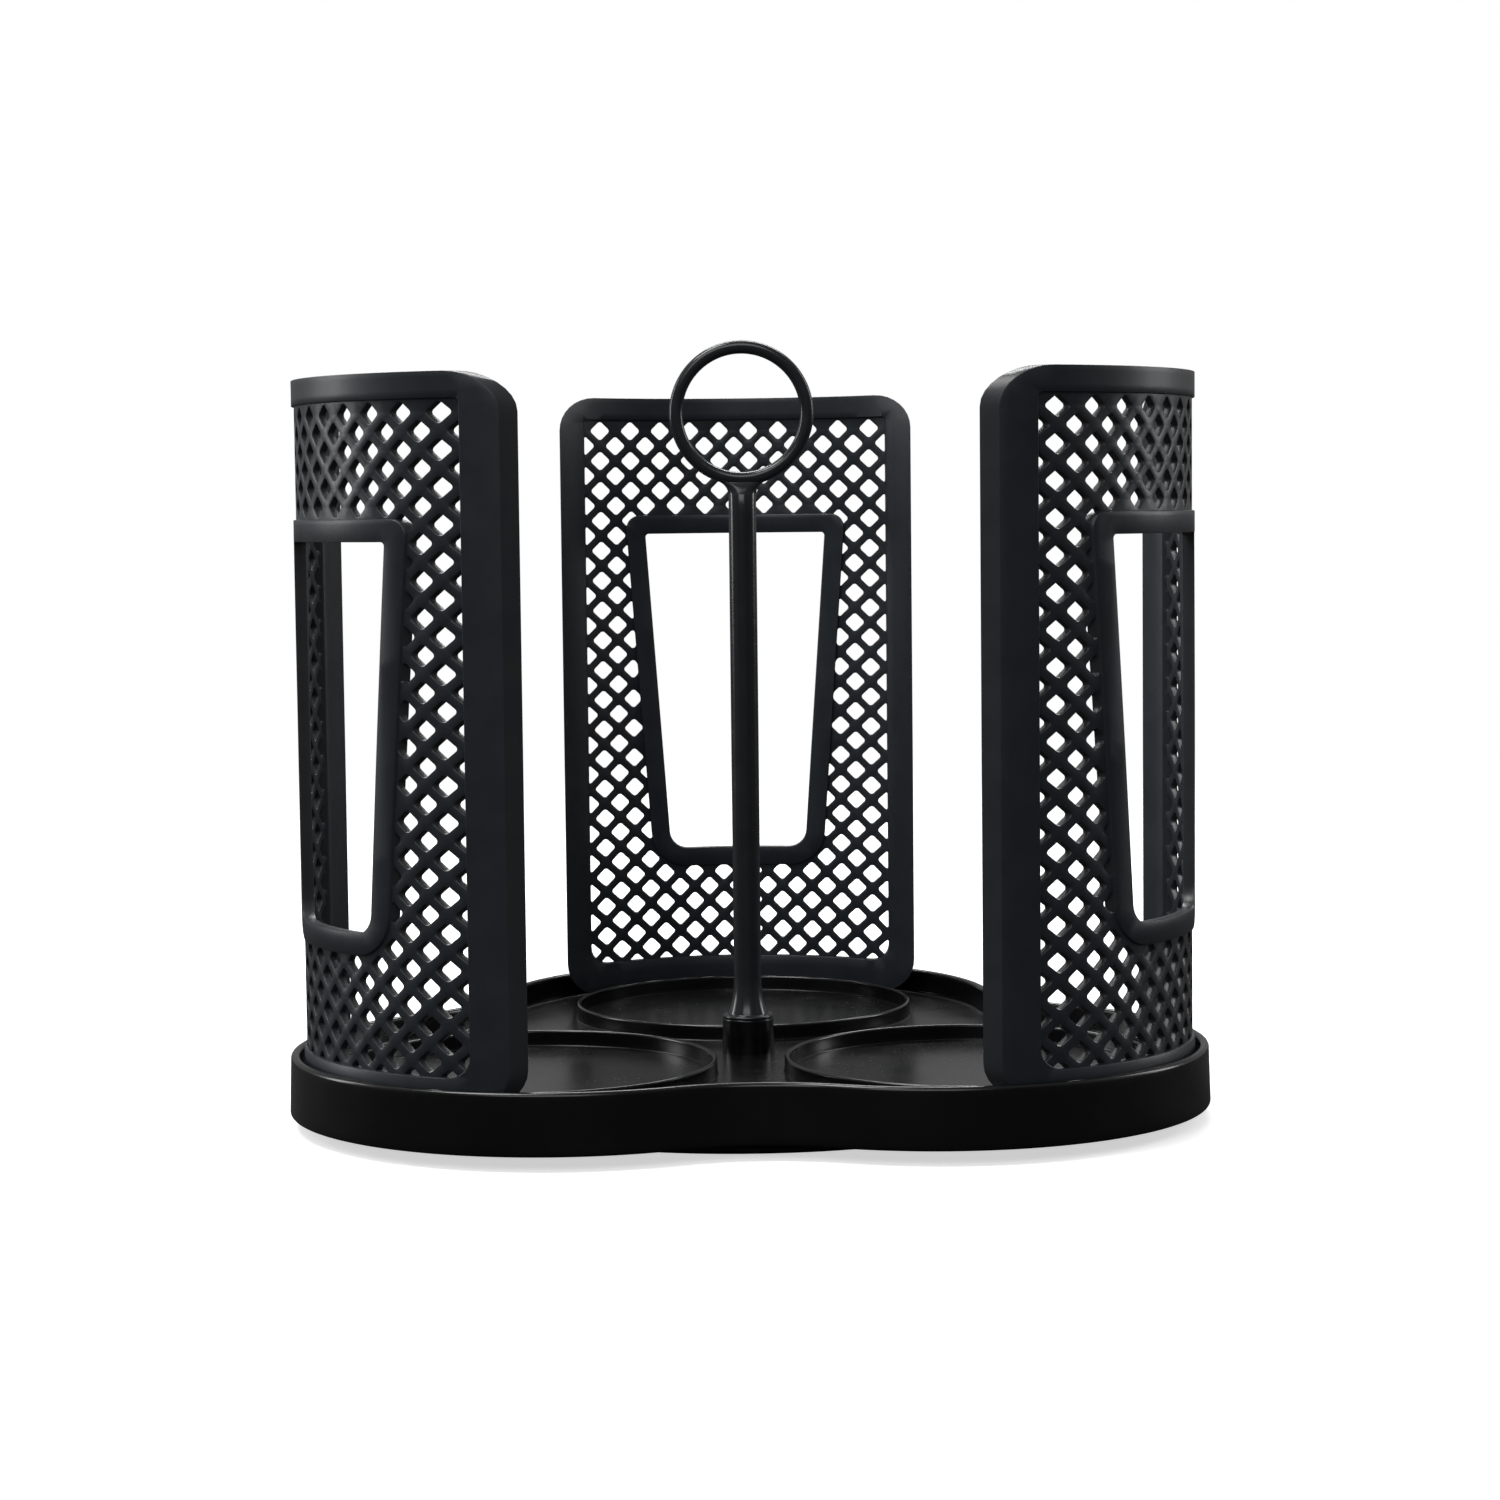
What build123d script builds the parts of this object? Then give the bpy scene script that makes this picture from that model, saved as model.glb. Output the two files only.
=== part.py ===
from build123d import *
import os
from math import asin, cos, pi, radians, sin, sqrt

os.makedirs("parts", exist_ok=True)

# Three-lobed turntable organizer. Millimetres, +Z up, origin on the spin axis at table level.
# One lobe points to +Y, and the other two follow every 120 degrees.
lobe_angles = {"rear": 0, "left": 120, "right": 240}

# ---- Fits ----
running_fit = 0.08
slip_fit = 0.15
thread_fit = 0.02
race_clearance = 0.3

# ---- Base disc and its feet ----
foot_proud = 0.8
foot_recess = 0.8
foot_radius = 6.0
foot_circle = 74.0
foot_count = 6
disc_radius = 84.5
disc_thick = 2.0
disc_edge_round = 0.6
hub_radius = 13.0
hub_height = 4.6
hub_web = 2.4
hub_pocket_radius = 9.0

# ---- Tray ----
lobe_offset = 55.9
lobe_radius = 71.5
notch_radius = 51.0
rim_height = 15.7
rim_gap = 0.9
rim_draft = 1.8
rim_wall = 2.4
skirt_wall = 2.2
rim_top_round = 1.1
rim_foot_round = 0.8
floor_rise = 8.5
floor_thick = 2.4
cup_ring_radius = 48.6
cup_ring_gap = 6.1
cup_ring_wall = 1.5
cup_ring_height = 4.2
cup_ring_round = 0.6
rib_count = 12
rib_thick = 1.5
rib_depth = 1.7

# ---- Ball race ----
ball_radius = 1.9
ball_circle = 60.0
ball_count = 18
track_half_width = 5.0
track_gap = 2.4
cage_thick = 1.6
cage_half_width = 3.6

# ---- Pivot ----
pivot_radius = 4.4
pivot_end_play = 0.1
shoulder_radius = 7.5
shoulder_gap = 0.4
washer_radius = 8.0
washer_thick = 0.8
screw_radius = 1.5
screw_length = 16.0
screw_head_radius = 3.8
screw_head_height = 2.0
screw_slot_width = 1.0
screw_slot_depth = 1.1

# ---- Pole and its socket ----
pole_radius = 3.65
pole_foot_radius = 5.3
pole_flare = 10.5
pole_flange_radius = 6.9
pole_flange_thick = 0.9
spigot_radius = 4.2
socket_radius = 6.9
socket_height = 9.4
boss_radius = 7.0
boss_height = 0.8
ring_height = 184.7
ring_radius = 17.55
ring_wire_radius = 1.7
ring_neck_round = 4.0
ring_neck_thick = 3.0

# ---- Lattice panels ----
panel_shift = 1.4
panel_rim_gap = 1.0
panel_half_angle = 53.2
lattice_thick = 1.9
outer_relief = 0.7
inner_relief = 0.5
panel_height = 180.6
panel_top_round = 10.0
panel_foot_round = 11.5
border_width = 7.0
border_top = 6.6
border_foot = 9.6
field_foot_round = 5.0
field_top_round = 1.0
cell_pitch = 9.0
hole_width = 4.25
hole_round = 0.9
hole_margin = 0.15
smallest_hole = 0.145
window_top_half = 27.3
window_foot_half = 20.6
window_foot = 43.3
window_height = 96.4
window_top_round = 1.0
window_foot_round = 5.4
window_bar = 5.6
window_bar_top_round = 4.0
tab_angles = (-38, 0, 38)
tab_width = 8.0
tab_thick = 2.0
barb_reach = 0.8
barb_height = 1.2
barb_gap = 0.1

# ---- Heights that follow from the sizes above ----
disc_foot = foot_proud
disc_top = disc_foot + disc_thick
rim_foot = disc_top + rim_gap
rim_top = rim_foot + rim_height
floor_top = rim_foot + floor_rise
floor_under = floor_top - floor_thick
race_mid = (disc_top + floor_under) / 2
hub_top = disc_top + hub_height
hub_web_under = hub_top - hub_web
pivot_end = hub_web_under - pivot_end_play
washer_under = pivot_end - washer_thick
boss_top = floor_top + boss_height
socket_top = floor_top + socket_height
flange_top = socket_top + pole_flange_thick
panel_top = floor_top + panel_height

# ---- Radii and places that follow ----
panel_offset = lobe_offset + panel_shift
frame_outer = lobe_radius - rim_wall - panel_rim_gap - panel_shift
lattice_outer = frame_outer - outer_relief
lattice_inner = lattice_outer - lattice_thick
frame_inner = lattice_inner - inner_relief
panel_radius = (lattice_outer + lattice_inner) / 2
panel_half_width = panel_radius * sin(radians(panel_half_angle))
cup_ring_offset = panel_offset + frame_inner - cup_ring_gap - cup_ring_radius
skirt_flare = rim_height * sin(radians(rim_draft)) / cos(radians(rim_draft))
notch_distance = lobe_offset / 2 + sqrt((lobe_radius + notch_radius) ** 2 - 0.75 * lobe_offset**2)


def polar(distance, angle, z=0.0):
    return Vector(distance * cos(radians(angle)), distance * sin(radians(angle)), z)


def disc(radius, foot, top, centre=(0, 0)):
    body = Cylinder(radius, top - foot, align=(Align.CENTER, Align.CENTER, Align.MIN))
    return Pos(centre[0], centre[1], foot) * body


def tube(outer, inner, foot, top, centre=(0, 0)):
    return disc(outer, foot, top, centre) - disc(inner, foot - 1, top + 1, centre)


def torus_cut(radius, wire, z):
    return Pos(0, 0, z) * Torus(radius, wire)


def trefoil(grow, z):
    # Three lobe arcs joined by three concave arcs, grown outwards by one distance.
    edges = []
    for step in range(3):
        lobe_angle = 90 + 120 * step
        lobe = polar(lobe_offset, lobe_angle, z)
        notch = polar(notch_distance, lobe_angle + 60, z)
        last_notch = polar(notch_distance, lobe_angle - 60, z)
        next_lobe = polar(lobe_offset, lobe_angle + 120, z)
        reach = lobe_radius + grow
        start = lobe + (last_notch - lobe).normalized() * reach
        end = lobe + (notch - lobe).normalized() * reach
        tip = polar(lobe_offset + reach, lobe_angle, z)
        dip = polar(notch_distance - notch_radius + grow, lobe_angle + 60, z)
        after = next_lobe + (notch - next_lobe).normalized() * reach
        edges.append(Edge.make_three_point_arc(start, tip, end))
        edges.append(Edge.make_three_point_arc(end, dip, after))
    return Face(Wire(edges))


def edges_at(shape, z):
    return shape.edges().filter_by_position(Axis.Z, z - 0.01, z + 0.01)


def make_tray():
    shell = extrude(trefoil(skirt_flare, rim_foot), rim_height, taper=rim_draft)
    shell = fillet(edges_at(shell, rim_foot), rim_foot_round)
    shell -= extrude(trefoil(-rim_wall, floor_top), rim_height)
    shell = fillet(edges_at(shell, rim_top), rim_top_round)
    skirt_room = floor_under - rim_foot + 1
    shell -= extrude(trefoil(skirt_flare - skirt_wall, rim_foot - 1), skirt_room)
    for angle in lobe_angles.values():
        shell += Rot(0, 0, angle) * make_cup_ring()
    shell += make_socket()
    shell += tube(
        ball_circle + track_half_width,
        ball_circle - track_half_width,
        race_mid + track_gap / 2,
        floor_under,
    )
    shell -= torus_cut(ball_circle, ball_radius + race_clearance, race_mid)
    shell += make_ribs()
    shell -= disc(spigot_radius + slip_fit, boss_top, socket_top + 1)
    shell -= disc(screw_radius + slip_fit, pivot_end - 1, boss_top + 1)
    for angle in lobe_angles.values():
        for tab in tab_angles:
            shell -= Rot(0, 0, angle) * tab_block(tab, slip_fit, floor_under - 1, floor_top + 1)
    return shell


def make_cup_ring():
    centre = (0, cup_ring_offset)
    inner = cup_ring_radius - cup_ring_wall
    ring = tube(cup_ring_radius, inner, floor_top, floor_top + cup_ring_height, centre)
    return fillet(edges_at(ring, floor_top + cup_ring_height), cup_ring_round)


def make_socket():
    # Boss, pole socket, and below the floor the shoulder and the pivot that turns in the hub.
    socket = disc(boss_radius, floor_top, boss_top)
    socket += disc(socket_radius, boss_top, socket_top)
    socket += disc(shoulder_radius, hub_top + shoulder_gap, floor_under)
    socket += disc(pivot_radius, pivot_end, hub_top + shoulder_gap)
    return socket


def make_ribs():
    inner = shoulder_radius - 1
    outer = ball_circle - track_half_width + 1
    rib = Box(outer - inner, rib_thick, rib_depth, align=(Align.MIN, Align.CENTER, Align.MAX))
    rib = Pos(inner, 0, floor_under) * rib
    ribs = [Rot(0, 0, 360 * step / rib_count) * rib for step in range(rib_count)]
    return Compound(ribs)


def tab_block(angle, grow, foot, top):
    # A short arc of the panel's wall, as wide as a tab, at one angle round the panel's arc.
    centre = (0, panel_offset)
    half = tab_thick / 2 + grow
    arc = tube(panel_radius + half, panel_radius - half, foot, top, centre)
    gate = Box(tab_width + 2 * grow, 2 * panel_radius, top - foot, align=(Align.CENTER, Align.MIN, Align.MIN))
    return arc & (Pos(0, panel_offset, foot) * Rot(0, 0, angle) * gate)


def barb_block(angle):
    # The inward hook under the tray floor that keeps a tab from pulling out.
    top = floor_under - barb_gap
    outer = panel_radius
    inner = panel_radius - tab_thick / 2 - barb_reach
    arc = tube(outer, inner, top - barb_height, top, (0, panel_offset))
    gate = Box(tab_width, 2 * panel_radius, barb_height, align=(Align.CENTER, Align.MIN, Align.MIN))
    return arc & (Pos(0, panel_offset, top - barb_height) * Rot(0, 0, angle) * gate)


def rounded_outline(corners, rounds):
    # A closed polygon in the panel's own plane, with its own round at each corner.
    outline = Polygon(*corners, align=None)
    for corner, size in zip(corners, rounds):
        vertex = outline.vertices().sort_by_distance(Vector(corner[0], corner[1], 0))[0]
        outline = fillet(vertex, size)
    return outline


def panel_outline():
    w = panel_half_width
    corners = [(-w, floor_top), (w, floor_top), (w, panel_top), (-w, panel_top)]
    rounds = [panel_foot_round, panel_foot_round, panel_top_round, panel_top_round]
    return rounded_outline(corners, rounds)


def field_outline(inset):
    w = panel_half_width - border_width - inset
    foot = floor_top + border_foot + inset
    top = panel_top - border_top - inset
    corners = [(-w, foot), (w, foot), (w, top), (-w, top)]
    rounds = [field_foot_round, field_foot_round, field_top_round, field_top_round]
    return rounded_outline(corners, rounds)


def window_outline(grow):
    foot = floor_top + window_foot
    top = foot + window_height
    slope = (window_top_half - window_foot_half) / window_height
    side = grow * sqrt(1 + slope**2)
    low = window_foot_half + side - slope * grow
    high = window_top_half + side + slope * grow
    corners = [(-low, foot - grow), (low, foot - grow), (high, top + grow), (-high, top + grow)]
    top_round = window_top_round if grow == 0 else window_bar_top_round
    foot_round = window_foot_round + grow
    return rounded_outline(corners, [foot_round, foot_round, top_round, top_round])


def lattice_holes():
    # Square holes standing on a corner, in rows half a pitch apart, clipped to the field.
    region = field_outline(hole_margin) - window_outline(window_bar + hole_margin)
    first_row = panel_top - border_top - hole_margin - hole_width / sqrt(2)
    row_count = int(2 * (first_row - floor_top - border_foot) / cell_pitch) + 2
    side_count = int((panel_half_width - border_width) / cell_pitch) + 1
    hole = RectangleRounded(hole_width, hole_width, hole_round, rotation=45)
    cells = []
    for row in range(row_count):
        shift = 0.5 if row % 2 == 0 else 0.0
        for column in range(-side_count, side_count + 1):
            cells.append(Pos((column + shift) * cell_pitch, first_row - row * cell_pitch / 2) * hole)
    clipped = Sketch() + cells
    clipped = clipped & region
    return [face for face in clipped.faces() if face.area > smallest_hole * hole_width**2]


def panel_prism(face):
    # Panel drawings are (across, up). They are drawn straight out along +Y from the arc's centre.
    upright = Plane((0, panel_offset, 0), x_dir=(1, 0, 0), z_dir=(0, -1, 0)) * face
    return extrude(upright, -(frame_outer + 5))


def make_panel():
    centre = (0, panel_offset)
    low, high = floor_top - 1, panel_top + 1
    window = window_outline(0)
    wall = panel_prism(panel_outline()) & tube(frame_outer, frame_inner, low, high, centre)
    relief = panel_prism(field_outline(0) - window_outline(window_bar))
    wall -= relief & tube(frame_outer + 3, lattice_outer, low, high, centre)
    # The back of the lattice is its front moved in along Y, so every hole is equally deep.
    back_centre = (0, panel_offset - lattice_thick)
    wall -= relief & tube(lattice_outer, frame_inner - 3, low, high, back_centre)
    holes = [face.outer_wire() for face in lattice_holes()]
    holes.append(window.face().outer_wire())
    sieve = panel_prism(Face(panel_outline().face().outer_wire(), holes))
    panel = wall & sieve
    for angle in tab_angles:
        panel += tab_block(angle, 0, floor_under - barb_gap - barb_height, floor_top + 1)
        panel += barb_block(angle)
    return panel


def make_pole():
    # Spigot, flange, flared foot and shaft turned about the axis, up to a dome inside the ring.
    shaft_top = ring_height - ring_radius - pole_radius
    spigot_foot = boss_top + slip_fit
    flare_top = flange_top + pole_flare
    flare_mid = (pole_radius + 0.25 * (pole_foot_radius - pole_radius), flange_top + pole_flare / 2)
    with BuildPart() as turned:
        with BuildSketch(Plane.XZ):
            with BuildLine():
                Polyline(
                    (0, spigot_foot),
                    (spigot_radius, spigot_foot),
                    (spigot_radius, socket_top),
                    (pole_flange_radius, socket_top),
                    (pole_flange_radius, flange_top),
                    (pole_foot_radius, flange_top),
                )
                ThreePointArc((pole_foot_radius, flange_top), flare_mid, (pole_radius, flare_top))
                Line((pole_radius, flare_top), (pole_radius, shaft_top))
                RadiusArc((pole_radius, shaft_top), (0, shaft_top + pole_radius), -pole_radius)
                Line((0, shaft_top + pole_radius), (0, spigot_foot))
            make_face()
        revolve(axis=Axis.Z)
    pole = turned.part
    pole += make_neck()
    pole += Pos(0, 0, ring_height) * Rot(90, 0, 0) * Torus(ring_radius, ring_wire_radius)
    screw_tip = washer_under + screw_length
    return pole - disc(screw_radius + thread_fit, spigot_foot - 1, screw_tip + 1)


def make_neck():
    # The web between shaft and ring: each side is an arc tangent to the shaft and to the ring.
    ring_outer = ring_radius + ring_wire_radius
    centre_x = pole_radius + ring_neck_round
    drop = sqrt((ring_outer + ring_neck_round) ** 2 - centre_x**2)
    centre_z = ring_height - drop
    lean = asin(centre_x / (ring_outer + ring_neck_round))
    touch = (ring_outer * sin(lean), ring_height - ring_outer * cos(lean))
    middle = (pi / 2 - lean) / 2 + lean
    belly = (centre_x - ring_neck_round * sin(middle), centre_z + ring_neck_round * cos(middle))
    inside = (ring_radius * sin(lean), ring_height - ring_radius * cos(lean))
    with BuildPart() as neck:
        with BuildSketch(Plane.XZ):
            with BuildLine():
                ThreePointArc((pole_radius, centre_z), belly, touch)
                Line(touch, inside)
                ThreePointArc(inside, (0, ring_height - ring_radius), (-inside[0], inside[1]))
                Line((-inside[0], inside[1]), (-touch[0], touch[1]))
                ThreePointArc((-touch[0], touch[1]), (-belly[0], belly[1]), (-pole_radius, centre_z))
                Line((-pole_radius, centre_z), (pole_radius, centre_z))
            make_face()
        extrude(amount=ring_neck_thick / 2, both=True)
    return neck.part


def make_base():
    plate = disc(disc_radius, disc_foot, disc_top)
    plate = fillet(plate.edges(), disc_edge_round)
    plate += disc(hub_radius, disc_top - disc_thick / 2, hub_top)
    plate += tube(
        ball_circle + track_half_width,
        ball_circle - track_half_width,
        disc_top - disc_thick / 2,
        race_mid - track_gap / 2,
    )
    plate -= torus_cut(ball_circle, ball_radius + race_clearance, race_mid)
    plate -= disc(hub_pocket_radius, disc_foot - 1, hub_web_under)
    plate -= disc(pivot_radius + running_fit, hub_web_under - 1, hub_top + 1)
    for step in range(foot_count):
        spot = polar(foot_circle, foot_angle(step))
        plate -= disc(foot_radius + slip_fit, disc_foot - 1, disc_foot + foot_recess, (spot.X, spot.Y))
    return plate


def foot_angle(step):
    return 90 + 360 * (step + 0.5) / foot_count


def make_foot(step):
    spot = polar(foot_circle, foot_angle(step))
    pad = disc(foot_radius, 0, foot_proud + foot_recess, (spot.X, spot.Y))
    return fillet(edges_at(pad, 0), foot_proud / 2)


def make_cage():
    foot = race_mid - cage_thick / 2
    top = race_mid + cage_thick / 2
    cage = tube(ball_circle + cage_half_width, ball_circle - cage_half_width, foot, top)
    for centre in ball_centres():
        cage -= disc(ball_radius + slip_fit, foot - 1, top + 1, (centre.X, centre.Y))
    return cage


def ball_centres():
    return [polar(ball_circle, 360 * step / ball_count, race_mid) for step in range(ball_count)]


def make_balls():
    return Compound([Location(centre) * Sphere(ball_radius) for centre in ball_centres()])


def make_washer():
    return tube(washer_radius, screw_radius + slip_fit, washer_under, pivot_end)


def make_screw():
    head = disc(screw_head_radius, washer_under - screw_head_height, washer_under)
    head = fillet(edges_at(head, washer_under - screw_head_height), screw_head_height / 2)
    head += disc(screw_radius, washer_under, washer_under + screw_length)
    slot = Box(2 * screw_head_radius * 0.6, screw_slot_width, screw_slot_depth)
    slot_height = washer_under - screw_head_height + screw_slot_depth / 2
    for turn in (0, 90):
        head -= Pos(0, 0, slot_height) * Rot(0, 0, turn) * slot
    return head


def save(name, shape):
    export_step(shape, f"parts/{name}.step")
    print(name, round(shape.volume, 1))


save("tray", make_tray())
panel = make_panel()
for side, turn in lobe_angles.items():
    save(f"panel_{side}", Rot(0, 0, turn) * panel)
save("pole", make_pole())
save("pivot_screw", make_screw())
save("pivot_washer", make_washer())
save("ball_cage", make_cage())
save("bearing_balls", make_balls())
save("base_disc", make_base())
for step in range(foot_count):
    save(f"foot_{step + 1}", make_foot(step))
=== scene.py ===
import math

import bpy
import numpy as np
from mathutils import Matrix, Vector
from mathutils.geometry import delaunay_2d_cdt


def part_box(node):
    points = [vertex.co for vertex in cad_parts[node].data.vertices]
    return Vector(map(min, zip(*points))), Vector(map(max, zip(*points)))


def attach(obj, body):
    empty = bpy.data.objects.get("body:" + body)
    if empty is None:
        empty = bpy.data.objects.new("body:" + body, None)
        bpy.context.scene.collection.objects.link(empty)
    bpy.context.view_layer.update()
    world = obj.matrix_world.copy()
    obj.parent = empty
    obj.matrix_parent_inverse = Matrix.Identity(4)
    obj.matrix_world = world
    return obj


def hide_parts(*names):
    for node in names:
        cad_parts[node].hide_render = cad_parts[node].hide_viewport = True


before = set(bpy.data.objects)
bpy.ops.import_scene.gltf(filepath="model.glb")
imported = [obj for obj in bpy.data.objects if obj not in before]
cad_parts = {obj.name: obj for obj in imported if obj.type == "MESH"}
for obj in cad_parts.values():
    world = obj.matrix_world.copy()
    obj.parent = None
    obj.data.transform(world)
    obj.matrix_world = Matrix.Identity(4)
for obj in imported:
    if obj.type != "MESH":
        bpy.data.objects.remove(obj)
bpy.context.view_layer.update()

# A three-lobed turntable organizer in black moulded plastic.
# Shapes are worked out in millimetres and stored in metres, in the CAD model's frame.
mm = 0.001


def storeMesh(name, shells, material, smoothAngle=40):
    # shells are (points, faces, edge) in millimetres; edge is 0 on open surface and 1 on a corner that rubs
    verts = np.concatenate([points for points, _, _ in shells])
    starts = np.cumsum([0] + [len(points) for points, _, _ in shells])
    faces = [[i + start for i in face] for (_, group, _), start in zip(shells, starts) for face in group]
    mesh = bpy.data.meshes.new(name)
    mesh.from_pydata((verts * mm).tolist(), [], faces)
    mesh.update()
    mesh.polygons.foreach_set("use_smooth", np.ones(len(mesh.polygons), bool))
    edge = np.concatenate([np.broadcast_to(e, len(points)) for points, _, e in shells]).astype(np.float32)
    mesh.attributes.new("edge", "FLOAT", "POINT").data.foreach_set("value", edge)
    mesh.set_sharp_from_angle(angle=math.radians(smoothAngle))
    mesh.materials.append(material)
    piece = bpy.data.objects.new(name, mesh)
    bpy.context.scene.collection.objects.link(piece)
    return piece


def standIn(piece, slot, *nodes):
    # the piece turns with the tray and takes the place of its CAD node
    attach(piece, "turntable")
    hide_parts(*nodes)


def gridFaces(rows, columns, wrapRows=False):
    # quads over a grid of points stored row by row; each row is a closed ring
    i = np.arange(rows if wrapRows else rows - 1)[:, None]
    j = np.arange(columns)[None, :]
    i2, j2 = (i + 1) % rows, (j + 1) % columns
    quads = np.stack([i * columns + j, i * columns + j2, i2 * columns + j2, i2 * columns + j], -1)
    return quads.reshape(-1, 4).tolist()


def cappedGrid(grid, edge=0.0):
    # a (rows, columns, 3) tube closed by one flat face at each end
    rows, columns = grid.shape[:2]
    faces = gridFaces(rows, columns)
    faces.append(list(range(columns))[::-1])
    faces.append(list(range((rows - 1) * columns, rows * columns)))
    return grid.reshape(-1, 3), faces, edge


def turned(points, turn):
    # points carried round the spin axis by a number of degrees
    c, s = math.cos(math.radians(turn)), math.sin(math.radians(turn))
    return points @ np.array([[c, s, 0], [-s, c, 0], [0, 0, 1]])


def spun(loop, steps, centre=(0, 0), edge=0.0):
    # a closed (radius, height) loop, run anticlockwise, carried round an upright axis through centre
    angle = np.linspace(0, 2 * math.pi, steps, endpoint=False)
    ring = np.stack([np.cos(angle), np.sin(angle)], -1)
    across = loop[:, None, :1] * ring + np.array(centre)
    up = np.broadcast_to(loop[:, None, 1:], (len(loop), steps, 1))
    grid = np.concatenate([across, up], -1)
    wear = np.repeat(edge, steps) if np.ndim(edge) else edge
    return grid.reshape(-1, 3), gridFaces(len(loop), steps, wrapRows=True), wear


def roundedLoop(corners, rounds, spacing):
    # a closed polygon with an arc of its own radius at each corner, sampled evenly
    corners = np.array(corners, float)
    arcs = []
    for before, corner, after, r in zip(np.roll(corners, 1, 0), corners, np.roll(corners, -1, 0), rounds):
        u = (before - corner) / np.linalg.norm(before - corner)
        v = (after - corner) / np.linalg.norm(after - corner)
        half = math.acos(np.clip(u @ v, -1, 1)) / 2
        centre = corner + (u + v) / np.linalg.norm(u + v) * r / math.sin(half)
        first = corner + u * r / math.tan(half) - centre
        last = corner + v * r / math.tan(half) - centre
        start = math.atan2(first[1], first[0])
        sweep = (math.atan2(last[1], last[0]) - start + math.pi) % (2 * math.pi) - math.pi
        steps = max(3, int(abs(sweep) * r / min(spacing, max(0.12, r / 4))) + 1)
        angle = start + sweep * np.linspace(0, 1, steps + 1)
        arcs.append(centre + r * np.stack([np.cos(angle), np.sin(angle)], 1))
    loop = []
    for arc, nextArc in zip(arcs, arcs[1:] + arcs[:1]):
        gap = nextArc[0] - arc[-1]
        share = np.linspace(0, 1, max(1, int(np.linalg.norm(gap) / spacing)) + 1)[1:-1, None]
        loop += [arc, arc[-1] + gap * share]
    return np.concatenate(loop)


def cornerWear(loop, reach=0.8):
    # 1 where a closed loop bends outwards within reach of a point, fading to 0 along its straight runs
    ahead = np.roll(loop, -1, 0) - loop
    heading = np.unwrap(np.arctan2(ahead[:, 1], ahead[:, 0]))
    bend = (heading - np.roll(heading, 1) + math.pi) % (2 * math.pi) - math.pi
    gap = np.linalg.norm(loop[:, None] - loop[None], axis=2)
    return np.clip((np.exp(-(gap / reach) ** 2) * bend).sum(1) / 1.2, 0, 1)


def signedDistance(points, loop):
    # distance to a closed loop, negative inside it (crossing number)
    a, b = loop, np.roll(loop, -1, 0)
    step = (b - a)[None]
    out = np.empty(len(points))
    for part in np.array_split(np.arange(len(points)), len(points) // 20000 + 1):
        p = points[part][:, None]
        t = np.clip(((p - a) * step).sum(2) / (step**2).sum(2), 0, 1)
        gap = np.linalg.norm(p - a - step * t[..., None], axis=2).min(1)
        rise = np.where(step[..., 1] == 0, 1.0, step[..., 1])
        x = a[:, 0] + (p[..., 1] - a[:, 1]) * step[..., 0] / rise
        crossed = ((a[:, 1] > p[..., 1]) != (b[:, 1] > p[..., 1])) & (p[..., 0] < x)
        out[part] = np.where(crossed.sum(1) % 2 == 1, -gap, gap)
    return out


class Wire:
    # one shader socket; sums, products and comparisons of wires or numbers add the Math nodes that do them
    def __init__(self, finish, socket):
        self.finish, self.socket = finish, socket

    def maths(self, operation, *values):
        node = self.finish.node("ShaderNodeMath", {"operation": operation}, dict(enumerate(values)))
        return self.finish.wire(node)

    def __add__(self, other):
        return self.maths("ADD", self, other)

    def __sub__(self, other):
        return self.maths("SUBTRACT", self, other)

    def __rsub__(self, other):
        return self.maths("SUBTRACT", other, self)

    def __mul__(self, other):
        return self.maths("MULTIPLY", self, other)

    __radd__, __rmul__ = __add__, __mul__

    def ramp(self, low, high):
        # 0 below low, 1 above high, smooth between
        node = self.finish.node("ShaderNodeMapRange", {"interpolation_type": "SMOOTHSTEP"},
                                {"Value": self, "From Min": low, "From Max": high})
        return self.finish.wire(node)


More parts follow.
